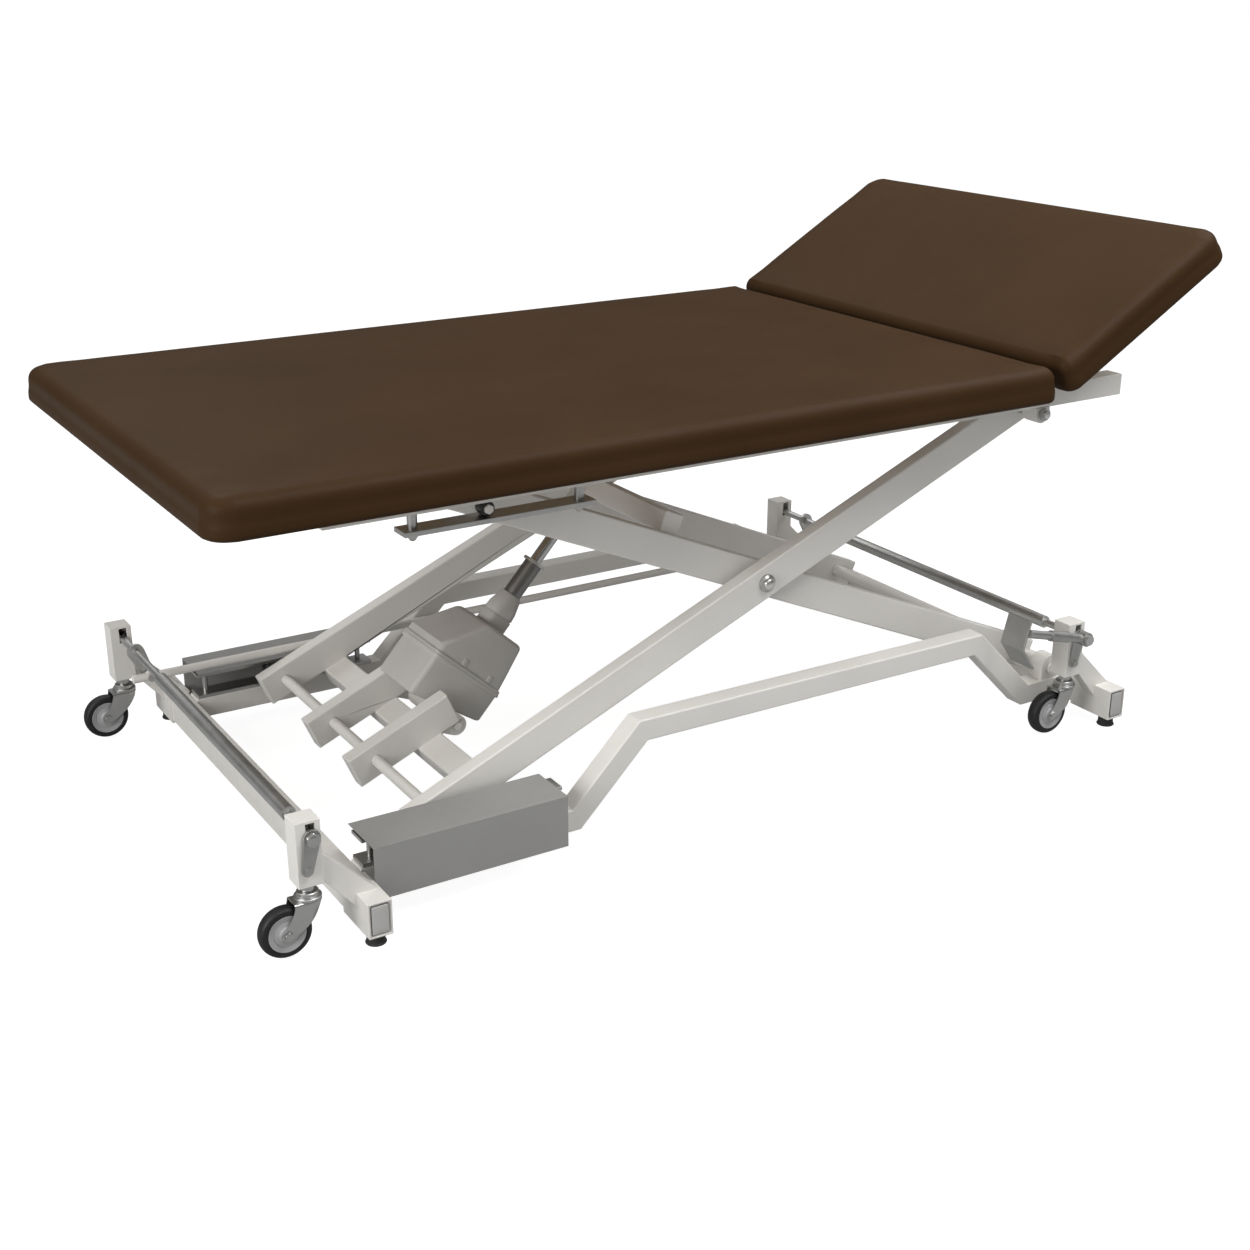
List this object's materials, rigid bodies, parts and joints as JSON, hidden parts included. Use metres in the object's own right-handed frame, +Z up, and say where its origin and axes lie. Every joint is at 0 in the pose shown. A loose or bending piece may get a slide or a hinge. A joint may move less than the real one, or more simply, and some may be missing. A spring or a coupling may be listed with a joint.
{
  "type": "bobath table",
  "caption": "Wide padded therapy table on a scissor lift, with a raisable head section, a linear actuator and casters lowered by a pedal",
  "frame": {"origin": "on the floor under the middle of the table", "axes": "+X toward the head end, -Y the pedal side, +Z up"},
  "size_m": [1.9566, 1.04, 0.9466],
  "materials": {
    "frame_paint": "semi-gloss",
    "zinc": "satin",
    "bright_steel": "polished",
    "black_rubber": "matte",
    "tyre_rubber": "matte",
    "grey_sheet": "satin",
    "grey_case": "matte",
    "dark_tube": "anodised",
    "black_nylon": "matte",
    "brown_vinyl": "soft sheen",
    "plywood": "raw"
  },
  "bodies": {
    "base": {"base_beam_foot": "frame_paint", "base_beam_head": "frame_paint", "base_rail_near": "frame_paint", "base_rail_far": "frame_paint", "low_guide_near": "zinc", "low_guide_far": "zinc", "guide_cover_near": "grey_sheet", "guide_cover_far": "grey_sheet", "rubber_foot_foot_near": "black_rubber", "rubber_foot_foot_far": "black_rubber", "rubber_foot_head_near": "black_rubber", "rubber_foot_head_far": "black_rubber"},
    "inner": {"inner_frame": "frame_paint", "low_pivot_tube": "zinc"},
    "outer": {"outer_frame": "frame_paint", "roller_axle": "zinc", "top_pivot_tube": "zinc", "centre_bolt_near": "zinc", "centre_bolt_far": "zinc"},
    "top": {"top_frame": "frame_paint", "top_guide_near": "zinc", "top_guide_far": "zinc", "main_deck": "plywood", "main_pad": "brown_vinyl", "hinge_leaf_main": "zinc"},
    "head_section": {"head_deck": "plywood", "head_pad": "brown_vinyl", "hinge_leaf_head": "zinc"},
    "stay_outer": {"stay_tube": "zinc"},
    "stay_inner": {"stay_bar": "bright_steel"},
    "actuator": {"actuator_housing": "grey_case", "actuator_cover": "grey_case", "actuator_tube": "dark_tube"},
    "lift_rod": {"actuator_rod": "bright_steel"},
    "pedal_shaft": {"shaft_head": "zinc", "lever_head_near": "zinc", "lever_head_far": "zinc", "pedal_arm": "zinc", "pedal_tread": "zinc"},
    "foot_shaft": {"shaft_foot": "zinc", "lever_foot_near": "zinc", "lever_foot_far": "zinc"},
    "link": {"link_rod": "frame_paint"},
    "low_roller_near_body": {"low_roller_near": "black_nylon"},
    "top_roller_near_body": {"top_roller_near": "black_nylon"},
    "low_roller_far_body": {"low_roller_far": "black_nylon"},
    "top_roller_far_body": {"top_roller_far": "black_nylon"},
    "slide_foot_near": {"caster_slide_foot_near": "zinc"},
    "fork_foot_near": {"caster_fork_foot_near": "zinc"},
    "wheel_foot_near": {"caster_wheel_foot_near": "tyre_rubber"},
    "slide_foot_far": {"caster_slide_foot_far": "zinc"},
    "fork_foot_far": {"caster_fork_foot_far": "zinc"},
    "wheel_foot_far": {"caster_wheel_foot_far": "tyre_rubber"},
    "slide_head_near": {"caster_slide_head_near": "zinc"},
    "fork_head_near": {"caster_fork_head_near": "zinc"},
    "wheel_head_near": {"caster_wheel_head_near": "tyre_rubber"},
    "slide_head_far": {"caster_slide_head_far": "zinc"},
    "fork_head_far": {"caster_fork_head_far": "zinc"},
    "wheel_head_far": {"caster_wheel_head_far": "tyre_rubber"}
  },
  "joints": [
    {"name": "lift", "type": "hinge", "parent": "base", "child": "inner", "pos_m": [0.71353, 0, 0.105], "axis": [0, 1, 0], "range_deg": [-12.1, 11.4]},
    {"name": "scissor_cross", "type": "hinge", "parent": "inner", "child": "outer", "pos_m": [0.05998, 0, 0.38242], "axis": [0, 1, 0], "range_deg": [-22.8, 24.2]},
    {"name": "top_level", "type": "hinge", "parent": "outer", "child": "top", "pos_m": [0.63069, 0, 0.62467], "axis": [0, 1, 0], "range_deg": [-12.1, 11.4]},
    {"name": "head_tilt", "type": "hinge", "parent": "top", "child": "head_section", "pos_m": [0.58169, 0, 0.72247], "axis": [0, -1, 0], "range_deg": [-30, 30]},
    {"name": "stay_swing", "type": "hinge", "parent": "top", "child": "stay_outer", "pos_m": [0.61169, 0, 0.64717], "axis": [0, -1, 0], "range_deg": [-28.98, 28.98]},
    {"name": "stay_extend", "type": "slide", "parent": "stay_outer", "child": "stay_inner", "axis": [0.857, 0, 0.5154], "range_m": [-0.04032, 0.04032]},
    {"name": "actuator_swing", "type": "hinge", "parent": "outer", "child": "actuator", "pos_m": [-0.43251, 0, 0.12992], "axis": [0, -1, 0], "range_deg": [-4.96, 4.67]},
    {"name": "actuator_extend", "type": "slide", "parent": "actuator", "child": "lift_rod", "axis": [0.6716, 0, 0.7409], "range_m": [-0.07827, 0.07375]},
    {"name": "pedal", "type": "hinge", "parent": "base", "child": "pedal_shaft", "pos_m": [0.69453, 0, 0.2], "axis": [0, -1, 0], "range_deg": [0, 40]},
    {"name": "foot_shaft_turn", "type": "hinge", "parent": "base", "child": "foot_shaft", "pos_m": [-0.86158, 0, 0.2], "axis": [0, -1, 0], "range_deg": [0, 40]},
    {"name": "link_swing", "type": "hinge", "parent": "foot_shaft", "child": "link", "pos_m": [-0.84158, 0.358, 0.152], "axis": [0, -1, 0], "range_deg": [-40, 0]},
    {"name": "low_roller_near_turn", "type": "hinge", "parent": "outer", "child": "low_roller_near_body", "pos_m": [-0.59358, -0.39, 0.105], "axis": [0, 1, 0], "continuous": true},
    {"name": "top_roller_near_turn", "type": "hinge", "parent": "inner", "child": "top_roller_near_body", "pos_m": [-0.51074, -0.39, 0.62467], "axis": [0, 1, 0], "continuous": true},
    {"name": "low_roller_far_turn", "type": "hinge", "parent": "outer", "child": "low_roller_far_body", "pos_m": [-0.59358, 0.39, 0.105], "axis": [0, 1, 0], "continuous": true},
    {"name": "top_roller_far_turn", "type": "hinge", "parent": "inner", "child": "top_roller_far_body", "pos_m": [-0.51074, 0.39, 0.62467], "axis": [0, 1, 0], "continuous": true},
    {"name": "slide_foot_near_drop", "type": "slide", "parent": "base", "child": "slide_foot_near", "axis": [0, 0, -1], "range_m": [0, 0.0181]},
    {"name": "swivel_foot_near", "type": "hinge", "parent": "slide_foot_near", "child": "fork_foot_near", "pos_m": [-0.86558, -0.467, 0.1045], "axis": [0, 0, 1], "range_deg": [-130, 130]},
    {"name": "wheel_foot_near_turn", "type": "hinge", "parent": "fork_foot_near", "child": "wheel_foot_near", "pos_m": [-0.90558, -0.467, 0.045], "axis": [0, 1, 0], "continuous": true},
    {"name": "slide_foot_far_drop", "type": "slide", "parent": "base", "child": "slide_foot_far", "axis": [0, 0, -1], "range_m": [0, 0.0181]},
    {"name": "swivel_foot_far", "type": "hinge", "parent": "slide_foot_far", "child": "fork_foot_far", "pos_m": [-0.86558, 0.467, 0.1045], "axis": [0, 0, 1], "range_deg": [-130, 130]},
    {"name": "wheel_foot_far_turn", "type": "hinge", "parent": "fork_foot_far", "child": "wheel_foot_far", "pos_m": [-0.90558, 0.467, 0.045], "axis": [0, 1, 0], "continuous": true},
    {"name": "slide_head_near_drop", "type": "slide", "parent": "base", "child": "slide_head_near", "axis": [0, 0, -1], "range_m": [0, 0.0181]},
    {"name": "swivel_head_near", "type": "hinge", "parent": "slide_head_near", "child": "fork_head_near", "pos_m": [0.69053, -0.467, 0.1045], "axis": [0, 0, 1], "range_deg": [-30, 130]},
    {"name": "wheel_head_near_turn", "type": "hinge", "parent": "fork_head_near", "child": "wheel_head_near", "pos_m": [0.65053, -0.467, 0.045], "axis": [0, 1, 0], "continuous": true},
    {"name": "slide_head_far_drop", "type": "slide", "parent": "base", "child": "slide_head_far", "axis": [0, 0, -1], "range_m": [0, 0.0181]},
    {"name": "swivel_head_far", "type": "hinge", "parent": "slide_head_far", "child": "fork_head_far", "pos_m": [0.69053, 0.467, 0.1045], "axis": [0, 0, 1], "range_deg": [-130, 30]},
    {"name": "wheel_head_far_turn", "type": "hinge", "parent": "fork_head_far", "child": "wheel_head_far", "pos_m": [0.65053, 0.467, 0.045], "axis": [0, 1, 0], "continuous": true}
  ],
  "couplings": [
    {"joint": "scissor_cross", "follows": "lift", "ratio": -2},
    {"joint": "top_level", "follows": "lift", "ratio": 1},
    {"joint": "actuator_swing", "follows": "lift", "ratio": 0.40883},
    {"joint": "actuator_extend", "follows": "lift", "m_per_rad": 0.37015},
    {"joint": "stay_swing", "follows": "head_tilt", "ratio": 0.96582},
    {"joint": "stay_extend", "follows": "head_tilt", "m_per_rad": 0.076813},
    {"joint": "foot_shaft_turn", "follows": "pedal", "ratio": 1},
    {"joint": "link_swing", "follows": "pedal", "ratio": -1},
    {"joint": "slide_foot_near_drop", "follows": "pedal", "m_per_rad": 0.025783},
    {"joint": "slide_foot_far_drop", "follows": "pedal", "m_per_rad": 0.025783},
    {"joint": "slide_head_near_drop", "follows": "pedal", "m_per_rad": 0.025783},
    {"joint": "slide_head_far_drop", "follows": "pedal", "m_per_rad": 0.025783}
  ]
}
